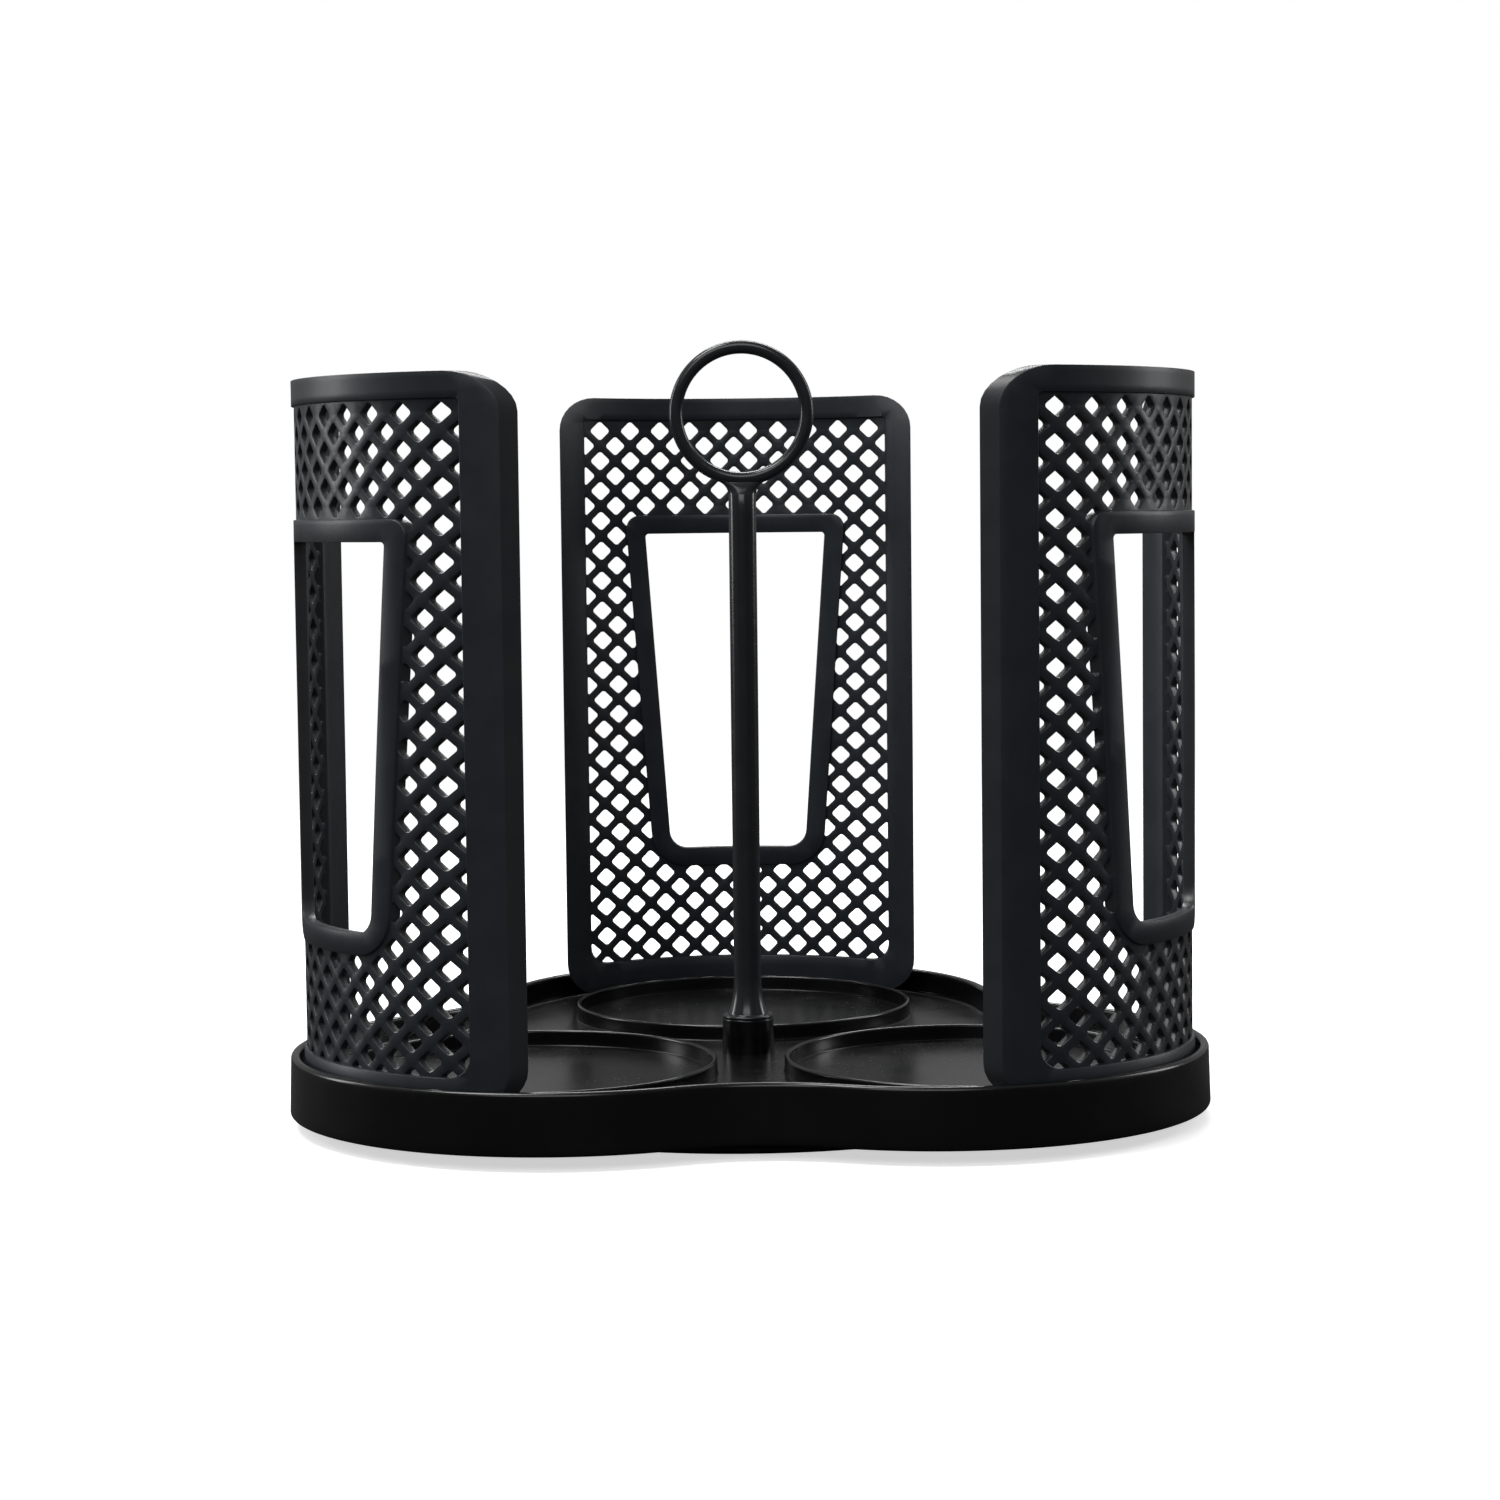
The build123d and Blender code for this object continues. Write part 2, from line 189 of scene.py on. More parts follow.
class Finish:
    # the nodes of a material or of the world: its shader, and one method that adds any other node
    def __init__(self, name, constants=None, world=None):
        self.material = world or bpy.data.materials.new(name)
        self.material.use_nodes = True
        self.tree = self.material.node_tree
        self.shader = self.tree.nodes["Background" if world else "Principled BSDF"]
        for socket, value in (constants or {}).items():
            self.shader.inputs[socket].default_value = value
        self.place = self.wire(self.node("ShaderNodeTexCoord"), "Generated" if world else "Object")

    def node(self, kind, settings=None, values=None):
        node = self.tree.nodes.new(kind)
        for key, value in (settings or {}).items():
            setattr(node, key, value)
        for key, value in (values or {}).items():
            if isinstance(value, Wire):
                self.tree.links.new(value.socket, node.inputs[key])
            else:
                node.inputs[key].default_value = value
        return node

    def wire(self, node, output=0):
        return Wire(self, node.outputs[output])

    def feed(self, socket, wire):
        self.tree.links.new(wire.socket, self.shader.inputs[socket])

    def noise(self, size, detail=2.0, roughness=0.5, stretch=(1, 1, 1)):
        # soft random pattern whose blobs are about size millimetres across, longer along a small stretch
        mapping = self.node("ShaderNodeMapping", None, {"Vector": self.place, "Scale": stretch})
        values = {"Vector": self.wire(mapping), "Scale": 1 / (size * mm)}
        values.update({"Detail": detail, "Roughness": roughness})
        return self.wire(self.node("ShaderNodeTexNoise", None, values))

    def cells(self, size, randomness=1.0):
        # distance to the nearest of scattered points, in cells
        values = {"Vector": self.place, "Scale": 1 / (size * mm), "Randomness": randomness}
        return self.wire(self.node("ShaderNodeTexVoronoi", None, values), "Distance")

    def blend(self, share, low, high):
        # a colour between two colours
        node = self.node("ShaderNodeMix", {"data_type": "RGBA"}, {"Factor": share, "A": low, "B": high})
        return self.wire(node, "Result")

    def attribute(self, name):
        return self.wire(self.node("ShaderNodeAttribute", {"attribute_name": name}), "Fac")

    def upward(self):
        # 1 where the surface faces up
        geometry = self.node("ShaderNodeNewGeometry")
        parts = self.node("ShaderNodeSeparateXYZ", None, {0: self.wire(geometry, "Normal")})
        return self.wire(parts, "Z").ramp(0.6, 0.95)

    def height(self, wire, strength=1.0):
        # a height in millimetres becomes bump
        values = {"Height": wire, "Distance": mm, "Strength": strength}
        self.feed("Normal", self.wire(self.node("ShaderNodeBump", None, values), "Normal"))


def grey(value, tint=(1.0, 1.0, 1.0)):
    return (*[value * t for t in tint], 1.0)


plastic = {
    # sizes in millimetres; colour and worn are how light the plastic is, fresh and rubbed,
    # and polish is how much smoother the rubbed corners are
    "panelPlastic": {
        "colour": 0.019, "tint": (0.8, 1.0, 1.3), "worn": 0.03, "roughness": 0.4, "grain": 0.22,
        "grainHeight": 0.01, "ripple": 16.0, "rippleHeight": 0.05, "scuff": 0.1, "polish": 0.02,
        "dust": 0.025,
    },
    "trayPlastic": {
        "colour": 0.0016, "tint": (0.95, 1.0, 1.06), "worn": 0.02, "roughness": 0.24, "grain": 0.3,
        "grainHeight": 0.006, "ripple": 22.0, "rippleHeight": 0.05, "scuff": 0.12, "polish": 0.15,
        "dust": 0.015,
    },
    "polePlastic": {
        "colour": 0.018, "tint": (0.9, 1.0, 1.14), "worn": 0.024, "roughness": 0.2, "grain": 0.5,
        "grainHeight": 0.004, "ripple": 9.0, "rippleHeight": 0.02, "scuff": 0.1, "polish": 0.08,
        "dust": 0.015,
    },
    "basePlastic": {
        "colour": 0.005, "tint": (1.0, 1.0, 1.02), "worn": 0.02, "roughness": 0.48, "grain": 0.35,
        "grainHeight": 0.02, "ripple": 14.0, "rippleHeight": 0.04, "scuff": 0.12, "polish": 0.05,
        "dust": 0.04,
    },
}


def blackPlastic(name):
    # moulded black plastic: spark-eroded grain, slow ripple from the mould, rubbed corners, scuffs and dust
    look = plastic[name]
    finish = Finish(name, {"IOR": 1.47})
    grain = finish.noise(look["grain"], 3.0, 0.6)
    ripple = finish.noise(look["ripple"], 1.0)
    cloud = finish.noise(look["ripple"] * 0.6, 4.0, 0.6)
    scuffs = finish.noise(1.6, 3.0, 0.7, (1, 1, 0.12)).ramp(0.62, 0.72) * finish.noise(24.0).ramp(0.45, 0.7)
    specks = (1 - finish.cells(1.9).ramp(0.03, 0.055)) * finish.noise(11.0).ramp(0.42, 0.62)
    dust = (finish.upward() * 0.75 + 0.25) * specks
    rubbed = finish.attribute("edge").ramp(0.55, 1.0) * (cloud * 0.7 + 0.35)
    darker, lighter = (grey(look["colour"] * share, look["tint"]) for share in (0.8, 1.3))
    base = finish.blend(cloud, darker, lighter)
    base = finish.blend(rubbed * 0.8, base, grey(look["worn"]))
    base = finish.blend(dust * look["dust"], base, grey(0.5, (1.0, 0.98, 0.94)))
    finish.feed("Base Color", base)
    uneven = (cloud - 0.5) * 0.16 + scuffs * look["scuff"] + dust * 0.2 - rubbed * look["polish"]
    finish.feed("Roughness", look["roughness"] + uneven)
    finish.height(grain * look["grainHeight"] + ripple * look["rippleHeight"] - scuffs * 0.004)
    return finish.material


def plainSteel(name):
    # turned and zinc-plated steel: fine scratches and soft clouds
    finish = Finish(name, {"Metallic": 1.0})
    cloud = finish.noise(3.0, 4.0, 0.6)
    scratches = finish.noise(0.25, 2.0, 0.5, (1, 1, 6))
    finish.feed("Base Color", finish.blend(cloud, (0.42, 0.43, 0.45, 1), (0.66, 0.67, 0.68, 1)))
    finish.feed("Roughness", cloud * 0.2 + scratches * 0.12 + 0.12)
    finish.height(scratches * 0.004)
    return finish.material


def naturalPlastic(name):
    # unpigmented slippery plastic, a little uneven, with grease marks
    finish = Finish(name, {"Subsurface Weight": 0.15, "Subsurface Scale": 0.002})
    cloud = finish.noise(6.0, 3.0)
    grease = finish.noise(4.0, 2.0, 0.6).ramp(0.55, 0.7)
    finish.feed("Base Color", finish.blend(cloud, (0.58, 0.57, 0.52, 1), (0.72, 0.71, 0.67, 1)))
    finish.feed("Roughness", 0.45 - grease * 0.2 + cloud * 0.1)
    finish.height(finish.noise(0.4, 2.0) * 0.01)
    return finish.material


def softRubber(name):
    # matt rubber with a fine grain and pale scuffs where it drags on the table
    finish = Finish(name, {"IOR": 1.5})
    cloud = finish.noise(2.5, 4.0, 0.65)
    scuffs = finish.noise(0.8, 3.0, 0.7).ramp(0.6, 0.72)
    finish.feed("Base Color", finish.blend(cloud * 0.5 + scuffs * 0.4, grey(0.012), grey(0.05)))
    finish.feed("Roughness", cloud * 0.2 + 0.65)
    finish.height(finish.noise(0.18, 3.0, 0.6) * 0.03)
    return finish.material


print("finishes")
panelPlastic, trayPlastic, polePlastic, basePlastic = (blackPlastic(name) for name in plastic)
steel = plainSteel("steel")
cadFinishes = {"base_disc": basePlastic, "ball_cage": naturalPlastic("cagePlastic"), "bearing_balls": steel,
               "pivot_screw": steel, "pivot_washer": steel}
rubber = softRubber("footRubber")
for name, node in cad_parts.items():
    material = rubber if name.startswith("foot_") else cadFinishes.get(name, trayPlastic)
    node.data.materials.clear()
    node.data.materials.append(material)


tray = {
    "lobeOffset": 55.9,
    "lobeRadius": 71.5,
    "notchRadius": 51.0,
    "rimFoot": 3.7,
    "rimTop": 19.4,
    "rimWall": 2.4,
    "rimTopRound": 1.1,
    "rimFootRound": 0.8,
    "flare": 0.49,           # how far the foot of the rim stands out past its top
    "skirtWall": 2.2,
    "floor": 12.2,
    "floorThick": 2.4,
    "floorFillet": 1.2,      # inside corner between the floor and the rim
    "edgeSpacing": 1.8,
    "plateEdge": -9.0,       # where the rim's profile ends and the flat floor begins
    "cupOffset": 66.2,
    "cupRadius": 48.6,
    "cupWall": 1.5,
    "cupHeight": 4.2,
    "cupFillet": 0.25,
    "bossTop": 13.0,
    "socketRadius": 6.9,
    "socketTop": 21.6,
    "spigotBore": 4.35,
    "shoulderRadius": 7.5,
    "shoulderFoot": 7.8,
    "pivotRadius": 4.4,
    "pivotEnd": 4.9,
    "screwBore": 1.65,
    "trackCircle": 60.0,
    "trackHalf": 5.0,
    "trackFoot": 7.5,
    "trackGroove": 2.2,
    "raceMid": 6.3,
    "overlap": 0.3,          # how far the track and the ribs sink into the floor
    "ribCount": 12,
    "ribThick": 1.5,
    "ribDepth": 1.7,
}


def trefoilEdge():
    # the rim's plan: three lobe arcs joined by three hollow arcs; returns points and outward normals
    t = tray
    reach = t["lobeRadius"] + t["notchRadius"]
    notchDistance = t["lobeOffset"] / 2 + math.sqrt(reach**2 - 0.75 * t["lobeOffset"]**2)
    third = math.pi / 3
    lean = math.atan2(notchDistance * math.sin(third), notchDistance * math.cos(third) - t["lobeOffset"])
    steps = int(2 * lean * t["lobeRadius"] / t["edgeSpacing"])
    lobe = np.linspace(-lean, lean, steps, endpoint=False) + math.pi / 2
    hollowHalf = lean - math.pi / 3
    steps = int(2 * hollowHalf * t["notchRadius"] / t["edgeSpacing"]) + 2
    hollow = np.linspace(hollowHalf, -hollowHalf, steps, endpoint=False) + math.pi / 2 + math.pi / 3
    lobeOut = np.stack([np.cos(lobe), np.sin(lobe)], 1)
    hollowOut = np.stack([np.cos(hollow), np.sin(hollow)], 1)
    lobeMid = np.array([0, t["lobeOffset"]])
    hollowMid = notchDistance * np.array([math.cos(math.pi * 5 / 6), math.sin(math.pi * 5 / 6)])
    points = np.concatenate([lobeMid + t["lobeRadius"] * lobeOut, hollowMid - t["notchRadius"] * hollowOut])
    normals = np.concatenate([lobeOut, hollowOut])
    flat = [turned(np.column_stack([part, np.zeros(len(part))]), side)[:, :2] for side in (0, 120, 240)
            for part in (points, normals)]
    return np.concatenate(flat[0::2]), np.concatenate(flat[1::2])


def trayRim():
    # a closed profile of outward steps and heights carried round the trefoil, its inner end a flat floor
    t = tray
    under = t["floor"] - t["floorThick"]
    inside, skirt, start = -t["rimWall"], t["flare"] - t["skirtWall"], t["plateEdge"]
    corners = [(start, under), (skirt, under), (skirt, t["rimFoot"]), (t["flare"], t["rimFoot"]),
               (0, t["rimTop"]), (inside, t["rimTop"]), (inside, t["floor"]), (start, t["floor"])]
    rounds = [0.05, 0.9, 0.4, t["rimFootRound"], t["rimTopRound"], t["rimTopRound"], t["floorFillet"], 0.05]
    profile = roundedLoop(corners, rounds, 1.4)
    profile = np.roll(profile, -np.flatnonzero(profile[:, 0] <= start + 0.06)[0], axis=0)
    keep = profile[:, 0] > start + 0.06
    profile = np.concatenate([[[start, under]], profile[keep], [[start, t["floor"]]]])
    points, normals = trefoilEdge()
    rows = points + profile[:, None, :1] * normals
    rows = np.concatenate([rows, np.broadcast_to(profile[:, None, 1:], (*rows.shape[:2], 1))], -1)
    polar = np.arctan2(points[:, 1], points[:, 0])
    hub = np.stack([np.cos(polar), np.sin(polar)], 1) * t["pivotRadius"]
    share = np.linspace(0, 1, 7)[1:, None, None]
    inward = rows[0, :, :2] * (1 - share) + hub * share
    level = np.ones((*inward.shape[:2], 1))
    floorRows, ceilingRows = (np.concatenate([inward, level * z], -1) for z in (t["floor"], under))
    grid = np.concatenate([rows, floorRows, ceilingRows[::-1]])
    wear = cornerWear(profile, 0.5) * (profile[:, 1] > t["rimTop"] - 2)
    edge = np.concatenate([wear, np.zeros(12)])
    faces = gridFaces(len(grid), len(points), wrapRows=True)
    return grid.reshape(-1, 3), faces, np.repeat(edge, len(points))


def cupRing(side):
    # a low wall with rounded top and a small fillet each side where it meets the floor
    t = tray
    outer, inner = t["cupRadius"], t["cupRadius"] - t["cupWall"]
    floor, top, fillet = t["floor"], t["floor"] + t["cupHeight"], t["cupFillet"]
    sunk = floor - 0.4
    corners = [(inner - fillet, sunk), (outer + fillet, sunk), (outer + fillet, floor), (outer, floor),
               (outer - 0.1, top), (inner + 0.1, top), (inner, floor), (inner - fillet, floor)]
    rounds = [0.1, 0.1, 0.02, fillet * 0.9, 0.62, 0.62, fillet * 0.9, 0.02]
    loop = roundedLoop(corners, rounds, 0.9)
    wear = cornerWear(loop, 0.4) * (loop[:, 1] > top - 1.2)
    points, faces, edge = spun(loop, 224, (0, t["cupOffset"]), wear)
    return turned(points, side), faces, edge


def traySocket():
    # the pole socket and its bore, and below the floor the shoulder and the pivot, as one turned loop
    t = tray
    corners = [(t["screwBore"], t["pivotEnd"]), (t["pivotRadius"], t["pivotEnd"]),
               (t["pivotRadius"], t["shoulderFoot"]), (t["shoulderRadius"], t["shoulderFoot"]),
               (t["shoulderRadius"], t["floor"] - 1.2),
               (t["socketRadius"] + 0.1, t["floor"] - 1.2), (t["socketRadius"] + 0.1, t["bossTop"]),
               (t["socketRadius"], t["socketTop"]), (t["spigotBore"], t["socketTop"]),
               (t["spigotBore"], t["bossTop"]), (t["screwBore"], t["bossTop"])]
    rounds = [0.2, 0.4, 0.3, 0.4, 0.1, 0.05, 2.0, 0.4, 0.2, 0.2, 0.2]
    loop = roundedLoop(corners, rounds, 0.8)
    return spun(loop, 96, edge=cornerWear(loop, 0.5) * (loop[:, 1] > t["floor"] + 0.4) * 0.6)


def trayTrack():
    # the upper ball track: a flat ring with a round groove in its underside
    t = tray
    mid, half, foot = t["trackCircle"], t["trackHalf"], t["trackFoot"]
    top = t["floor"] - t["floorThick"] + t["overlap"]
    dip = foot - t["raceMid"]
    reach = math.acos(dip / t["trackGroove"])
    angle = np.linspace(-reach, reach, 17)
    groove = t["trackGroove"] * np.stack([np.sin(angle), np.cos(angle)], 1) + (mid, t["raceMid"])
    rest = [(mid + half, foot), (mid + half, top), (mid - half, top)]
    loop = np.concatenate([[(mid - half, foot)], groove, rest])
    return spun(loop, 192)


def trayRibs():
    # radial ribs under the floor, each a straight bar with a rounded lower edge, sunk into what it joins
    t = tray
    under = t["floor"] - t["floorThick"]
    half, foot, top = t["ribThick"] / 2, under - t["ribDepth"], under + t["overlap"]
    corners = [(-half, foot), (half, foot), (half, top), (-half, top)]
    loop = roundedLoop(corners, [0.35, 0.35, 0.05, 0.05], 1.0)
    along = np.array([t["shoulderRadius"] - 1, t["trackCircle"] - t["trackHalf"] + 1])[:, None, None]
    count = len(loop)
    grid = np.concatenate([np.broadcast_to(along, (2, count, 1)), np.broadcast_to(loop, (2, count, 2))], -1)
    points, faces, edge = cappedGrid(grid)
    return [(turned(points, 360 / t["ribCount"] * step), faces, edge) for step in range(t["ribCount"])]


print("tray")
trayShells = [trayRim(), traySocket(), trayTrack()] + [cupRing(side) for side in (0, 120, 240)] + trayRibs()
standIn(storeMesh("trayShell", trayShells, trayPlastic), "tray_plastic", "tray")


pole = {
    "radius": 3.65,
    "spigotRadius": 4.2,
    "spigotFoot": 13.15,
    "flangeFoot": 21.6,
    "flangeTop": 22.5,
    "flangeRadius": 6.9,
    "footRadius": 5.3,
    "flare": 10.5,           # height of the flared foot above the flange
    "ringHeight": 184.7,
    "ringRadius": 17.55,
    "ringAcross": 1.75,      # half the ring's wire in the plane of the ring
    "ringDeep": 1.85,        # and from front to back
    "neckRound": 4.0,
    "neckDeep": 1.45,
    "squareness": 2.5,       # 2 is a round section, more is flatter
    "seam": 0.05,            # the moulding's parting line
    "seamWidth": 0.045,
    "around": 72,            # points round the shaft
}


def roundish(across, deep, power, steps):
    # a closed section |x/across|^power + |y/deep|^power = 1, with a fine seam where y is 0
    angle = np.linspace(0, 2 * math.pi, steps, endpoint=False)
    c, s = np.cos(angle), np.sin(angle)
    size = (np.abs(c)**power + np.abs(s)**power) ** (-1 / power)
    seam = 1 + pole["seam"] / across * np.exp(-((s / (pole["seamWidth"] * 2)) ** 2))
    return np.stack([across * c * size * seam, deep * s * size], -1)


def poleShaft():
    # sections stacked up the axis: spigot, flange, flared foot, shaft, and a neck that spreads along the ring
    p = pole
    outer = p["ringRadius"] + p["ringAcross"]
    middle = p["radius"] + p["neckRound"]
    neckFoot = p["ringHeight"] - math.sqrt((outer + p["neckRound"])**2 - middle**2)
    lean = math.asin(middle / (outer + p["neckRound"]))
    rise = np.linspace(0, math.pi / 2 - lean, 14)
    neckHalf = middle - p["neckRound"] * np.cos(rise)
    neckZ = neckFoot + p["neckRound"] * np.sin(rise)
    flare = np.linspace(0, 1, 16)
    flareHalf = p["radius"] + (p["footRadius"] - p["radius"]) * (1 - flare)**2.4
    flareZ = p["flangeTop"] + 0.45 + p["flare"] * flare
    turn = np.linspace(0, math.pi / 2, 5)
    lip = p["flangeTop"] - p["flangeFoot"]
    lipHalf = p["flangeRadius"] - lip / 2 + lip / 2 * np.cos(np.linspace(-math.pi / 2, math.pi / 2, 9))
    lipZ = p["flangeFoot"] + lip / 2 + lip / 2 * np.sin(np.linspace(-math.pi / 2, math.pi / 2, 9))
    rootHalf = p["footRadius"] + 0.45 - 0.45 * np.sin(turn)
    rootZ = p["flangeTop"] + 0.45 - 0.45 * np.cos(turn)
    shaftZ = np.linspace(flareZ[-1], neckFoot, 30)[1:-1]
    spigotHalf = [p["spigotRadius"] - 0.4, p["spigotRadius"], p["spigotRadius"]]
    spigotZ = [p["spigotFoot"], p["spigotFoot"] + 0.4, p["flangeFoot"]]
    shaftHalf = np.full(len(shaftZ), p["radius"])
    half = np.concatenate([spigotHalf, lipHalf, rootHalf[:-1], flareHalf, shaftHalf, neckHalf])
    z = np.concatenate([spigotZ, lipZ, rootZ[:-1], flareZ, shaftZ, neckZ])
    share = np.clip((z - neckFoot) / (neckZ[-1] - neckFoot), 0, 1)
    deep = half * (1 - share) + np.where(z > neckFoot, p["neckDeep"], half) * share
    power = 2 + (p["squareness"] - 2) * share
    grid = np.stack([roundish(a, d, k, p["around"]) for a, d, k in zip(half, deep, power)])
    level = np.broadcast_to(z[:, None], grid.shape[:2])
    bowl = p["ringHeight"] - np.sqrt(p["ringRadius"]**2 - grid[-1, :, 0]**2)     # the ring's centreline
    grid = np.concatenate([grid, level[..., None]], -1)
    last = np.stack([grid[-1, :, 0], grid[-1, :, 1] * 0.8, np.maximum(bowl, grid[-1, :, 2])], -1)
    share = np.linspace(0.2, 1, 5)[:, None, None]
    edge = np.exp(-((z - p["flangeTop"] + lip / 2) / 0.6) ** 2) * (half > p["flangeRadius"] - 0.3) * 0.7
    top = grid[-1] * (1 - share) + last * share
    points, faces, _ = cappedGrid(np.concatenate([grid, top]))
    return points, faces, np.repeat(np.concatenate([edge, np.zeros(5)]), p["around"])


def poleRing():
    # the handle: a squarish section carried round a circle in the plane of the pole
    p = pole
    angle = np.linspace(0, 2 * math.pi, 180, endpoint=False)
    section = roundish(p["ringAcross"], p["ringDeep"], p["squareness"], 64)
    reach = p["ringRadius"] + section[:, 0]
    deep = np.broadcast_to(section[:, 1], (len(angle), len(section)))
    up = p["ringHeight"] - reach * np.cos(angle)[:, None]
    grid = np.stack([reach * np.sin(angle)[:, None], deep, up], -1)
    return grid.reshape(-1, 3), gridFaces(*deep.shape, wrapRows=True), 0.0


print("pole")
standIn(storeMesh("poleShell", [poleShaft(), poleRing()], polePlastic), "pole_plastic", "pole")


panel = {
    "offset": 57.3,          # arc centre, from the spin axis
    "radius": 65.05,         # middle of the lattice wall
    "halfAngle": 53.2,
    "height": 180.6,
    "topRound": 10.0,
    "footRound": 11.5,
    "latticeThick": 1.9,     # measured straight out from the arc's centre line
    "outerRelief": 0.7,      # how far the border and the window bar stand out
    "innerRelief": 0.5,
    "borderSide": 7.0,
    "borderTop": 6.6,
    "borderFoot": 9.6,
    "fieldTopRound": 1.0,
    "fieldFootRound": 5.0,
    "pitch": 9.0,
    "hole": 4.25,
    "holeRound": 0.9,
    "firstRow": 9.8,         # below the top edge
    "rows": 37,
    "smallestShare": 0.15,   # a hole with less than this share left is filled
    "windowFoot": 43.3,
    "windowHeight": 96.4,
    "windowTopHalf": 27.3,
    "windowFootHalf": 20.6,
    "windowTopRound": 1.0,
    "windowFootRound": 5.4,
    "bar": 5.6,
    "barTopRound": 4.0,
    "edgeRound": 0.13,
    "edgeSteps": (0.0, 0.04, 0.13),
    "wearReach": 0.35,
    "reliefSteps": ((0.0, 0.0), (0.05, 0.6), (0.12, 0.88), (0.24, 1.0)),
    "rays": 36,
    "fillSpacing": 3.2,
}
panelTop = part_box("panel_rear")[1].z / mm
panelFloor = panelTop - panel["height"]


def panelRect(grow, side, foot, top, footRound, topRound):
    # a rounded rectangle set in from the panel's four sides, then grown outwards by one distance
    half = panel["radius"] * math.sin(math.radians(panel["halfAngle"])) - side + grow
    low, high = panelFloor + foot - grow, panelTop - top + grow
    rounds = [footRound + grow] * 2 + [topRound + grow] * 2
    return roundedLoop([(-half, low), (half, low), (half, high), (-half, high)], rounds, 2.2)


def outlineLoop(grow):
    return panelRect(grow, 0, 0, 0, panel["footRound"], panel["topRound"])


def fieldLoop(grow):
    return panelRect(grow, panel["borderSide"], panel["borderFoot"], panel["borderTop"],
                     panel["fieldFootRound"], panel["fieldTopRound"])


def windowLoop(grow):
    # the tapered window, grown outwards by one distance
    foot = panelFloor + panel["windowFoot"]
    top = foot + panel["windowHeight"]
    slope = (panel["windowTopHalf"] - panel["windowFootHalf"]) / panel["windowHeight"]
    side = grow * math.hypot(1, slope)
    low = panel["windowFootHalf"] + side - slope * grow
    high = panel["windowTopHalf"] + side + slope * grow
    corners = [(-low, foot - grow), (low, foot - grow), (high, top + grow), (-high, top + grow)]
    share = grow / panel["bar"]
    topRound = panel["windowTopRound"] + (panel["barTopRound"] - panel["windowTopRound"]) * share
    footRound = panel["windowFootRound"] + grow
    return roundedLoop(corners, [footRound, footRound, topRound, topRound], 2.0)


fieldEdge, barEdge = fieldLoop(0), windowLoop(panel["bar"])
outlineEdge, windowEdge = outlineLoop(0), windowLoop(0)


def frameDistance(points):
    # how far a point lies inside the border or the window bar, negative on the lattice
    return np.maximum(signedDistance(points, fieldEdge), -signedDistance(points, barEdge))


def squareDistance(local):
    # signed distance to a rounded square that stands on its corner, centred at the origin
    reach = panel["hole"] / 2 - panel["holeRound"]
    q = np.abs(local @ (np.array([[1, 1], [-1, 1]]) / math.sqrt(2))) - reach
    return np.linalg.norm(np.maximum(q, 0), axis=-1) + np.minimum(q.max(-1), 0) - panel["holeRound"]


def softMax(a, b, k):
    # the larger of a and b, rounded off where they differ by less than k
    h = np.maximum(k - np.abs(a - b), 0) / k
    return np.maximum(a, b) + h * h * k / 4


def latticeCentres():
    # staggered rows; returns the whole holes and the ones that a border or the window bar cuts
    columns = np.arange(-6, 7)
    row, column = np.meshgrid(np.arange(panel["rows"]), columns, indexing="ij")
    across = (column + np.where(row % 2 == 0, 0.5, 0.0)) * panel["pitch"]
    up = panelTop - panel["firstRow"] - row * panel["pitch"] / 2
    centres = np.stack([across, up], -1).reshape(-1, 2)
    diagonal = panel["hole"] / math.sqrt(2)
    depth = frameDistance(centres)
    whole = centres[depth < 0.15 - diagonal]
    return whole, centres[(depth >= 0.15 - diagonal) & (depth < diagonal)]


def squareLoop(grow):
    # the hole's edge, pushed outwards: four quarter circles joined by straight sides
    reach = panel["hole"] / 2 - panel["holeRound"]
    angle = np.radians(np.linspace(0, 90, 6))
    quarter = reach + (panel["holeRound"] + grow) * np.stack([np.cos(angle), np.sin(angle)], 1)
    turns = math.pi / 4 + math.pi / 2 * np.arange(4)
    c, s = np.cos(turns), np.sin(turns)
    spin = np.stack([np.stack([c, s], -1), np.stack([-s, c], -1)], -2)
    return np.einsum("pi,kij->kpj", quarter, spin).reshape(-1, 2)


def cutHoles(cut):
    # the middles of what is left of the cut holes, by sampling each square
    diagonal = panel["hole"] / math.sqrt(2)
    u, z = np.meshgrid(*[np.linspace(-diagonal, diagonal, 25)] * 2)
    grid = np.stack([u.ravel(), z.ravel()], 1)
    grid = grid[squareDistance(grid) < 0]
    free = frameDistance((cut[:, None] + grid).reshape(-1, 2)).reshape(len(cut), -1) < 0
    enough = free.mean(1) > panel["smallestShare"]
    cut, free = cut[enough], free[enough]
    return cut, cut + (free[..., None] * grid).sum(1) / free.sum(1)[:, None]


def cutHoleDistance(points, centres):
    # signed distance to a hole trimmed by the border or the window bar
    frameGap = frameDistance(points.reshape(-1, 2)).reshape(points.shape[:-1])
    return softMax(squareDistance(points - centres), frameGap, 0.5)


def cutLoops(cut, middles, level):
    # rays from each middle, halved until they end where the signed distance equals level
    angle = np.linspace(0, 2 * math.pi, panel["rays"], endpoint=False)
    ray = np.stack([np.cos(angle), np.sin(angle)], 1)
    low = np.zeros((len(cut), panel["rays"]))
    high = np.full_like(low, 2 * panel["hole"])
    for _ in range(16):
        mid = (low + high) / 2
        inside = cutHoleDistance(middles[:, None] + mid[..., None] * ray, cut[:, None]) < level
        low, high = np.where(inside, mid, low), np.where(inside, high, mid)
    return middles[:, None] + low[..., None] * ray


